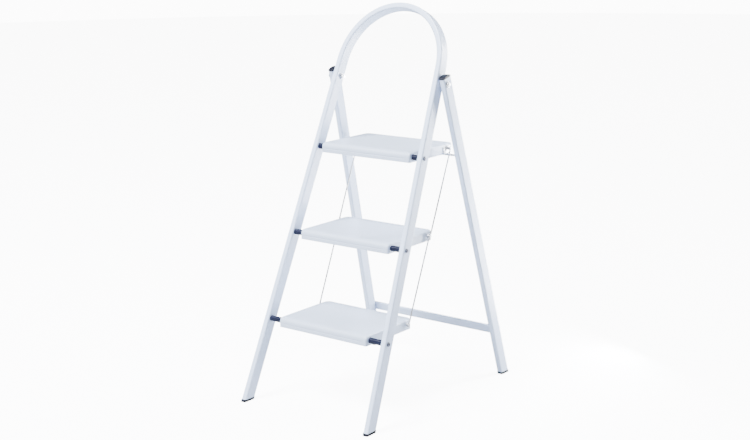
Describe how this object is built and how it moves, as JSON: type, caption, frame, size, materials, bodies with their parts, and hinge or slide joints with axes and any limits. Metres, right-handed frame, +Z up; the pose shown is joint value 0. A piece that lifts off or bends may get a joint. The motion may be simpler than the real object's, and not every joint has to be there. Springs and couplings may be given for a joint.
{
  "type": "step ladder",
  "caption": "Folding step ladder with wide pressed-steel treads, an arched tube handrail and a hinged rear frame.",
  "frame": {"origin": "on the floor, midway between the front and rear feet, on the ladder's mid plane", "axes": "+X across the ladder towards the climber's right, +Y from the climbing side towards the rear frame, +Z up"},
  "size_m": [0.4802, 0.6414, 1.058],
  "materials": {
    "frame_paint": "bluish-white powder coat with a fine orange-peel texture",
    "tread_paint": "bluish-white powder coat, smooth satin",
    "spacer_plastic": "moulded navy plastic, satin",
    "cap_plastic": "moulded near-black plastic, satin",
    "foot_plastic": "moulded black non-slip foot, matt",
    "zinc_plate": "zinc-plated steel, slightly dull",
    "bolt_steel": "dark zinc-plated steel",
    "pivot_steel": "bright zinc-plated steel"
  },
  "bodies": {
    "front_frame": {"front_frame_tube": "frame_paint", "front_foot_right": "foot_plastic", "front_foot_left": "foot_plastic", "bottom_tread_spacer_right": "spacer_plastic", "bottom_tread_spacer_left": "spacer_plastic", "middle_tread_spacer_right": "spacer_plastic", "middle_tread_spacer_left": "spacer_plastic", "top_tread_spacer_right": "spacer_plastic", "top_tread_spacer_left": "spacer_plastic", "tread_hinge_bolts": "bolt_steel", "tread_hinge_nuts": "zinc_plate", "top_pivot_bolts": "pivot_steel", "top_pivot_nuts": "zinc_plate", "top_pivot_spacer_washers": "zinc_plate", "top_pivot_nut_washers": "zinc_plate"},
    "rear_frame": {"rear_leg_right": "frame_paint", "rear_leg_left": "frame_paint", "rear_foot_right": "foot_plastic", "rear_foot_left": "foot_plastic", "rear_leg_cap_right": "cap_plastic", "rear_leg_cap_left": "cap_plastic", "rear_crossbar": "frame_paint", "rear_crossbar_rivets": "zinc_plate", "catch_rod": "zinc_plate"},
    "top_tread_step": {"top_tread": "tread_paint", "top_link_pins": "zinc_plate", "catch_hook_right": "zinc_plate", "catch_hook_left": "zinc_plate"},
    "middle_tread_step": {"middle_tread": "tread_paint", "middle_link_pins": "zinc_plate"},
    "bottom_tread_step": {"bottom_tread": "tread_paint", "bottom_link_pins": "zinc_plate"},
    "upper_link_right": {"upper_link_rod_right": "zinc_plate"},
    "upper_link_left": {"upper_link_rod_left": "zinc_plate"},
    "lower_link_right": {"lower_link_rod_right": "zinc_plate"},
    "lower_link_left": {"lower_link_rod_left": "zinc_plate"}
  },
  "joints": [
    {"name": "rear_frame_fold", "type": "hinge", "parent": "front_frame", "child": "rear_frame", "pos_m": [0, 0.06855, 0.854], "axis": [1, 0, 0], "range_deg": [-36.5, 0]},
    {"name": "bottom_tread_fold", "type": "hinge", "parent": "front_frame", "child": "bottom_tread_step", "pos_m": [0, -0.21386, 0.216], "axis": [1, 0, 0], "range_deg": [0, 62]},
    {"name": "middle_tread_fold", "type": "hinge", "parent": "front_frame", "child": "middle_tread_step", "pos_m": [0, -0.11734, 0.4425], "axis": [1, 0, 0], "range_deg": [0, 62]},
    {"name": "top_tread_fold", "type": "hinge", "parent": "front_frame", "child": "top_tread_step", "pos_m": [0, -0.02083, 0.669], "axis": [1, 0, 0], "range_deg": [0, 62]},
    {"name": "upper_link_right_swing", "type": "hinge", "parent": "top_tread_step", "child": "upper_link_right", "pos_m": [0, 0.13917, 0.671], "axis": [1, 0, 0], "range_deg": [-62, 0]},
    {"name": "upper_link_left_swing", "type": "hinge", "parent": "top_tread_step", "child": "upper_link_left", "pos_m": [0, 0.13917, 0.671], "axis": [1, 0, 0], "range_deg": [-62, 0]},
    {"name": "lower_link_right_swing", "type": "hinge", "parent": "middle_tread_step", "child": "lower_link_right", "pos_m": [0, 0.04266, 0.4445], "axis": [1, 0, 0], "range_deg": [-62, 0]},
    {"name": "lower_link_left_swing", "type": "hinge", "parent": "middle_tread_step", "child": "lower_link_left", "pos_m": [0, 0.04266, 0.4445], "axis": [1, 0, 0], "range_deg": [-62, 0]}
  ],
  "couplings": [
    {"joint": "bottom_tread_fold", "follows": "rear_frame_fold", "ratio": -1.6986},
    {"joint": "middle_tread_fold", "follows": "rear_frame_fold", "ratio": -1.6986},
    {"joint": "top_tread_fold", "follows": "rear_frame_fold", "ratio": -1.6986},
    {"joint": "upper_link_right_swing", "follows": "rear_frame_fold", "ratio": 1.6986},
    {"joint": "upper_link_left_swing", "follows": "rear_frame_fold", "ratio": 1.6986},
    {"joint": "lower_link_right_swing", "follows": "rear_frame_fold", "ratio": 1.6986},
    {"joint": "lower_link_left_swing", "follows": "rear_frame_fold", "ratio": 1.6986}
  ]
}
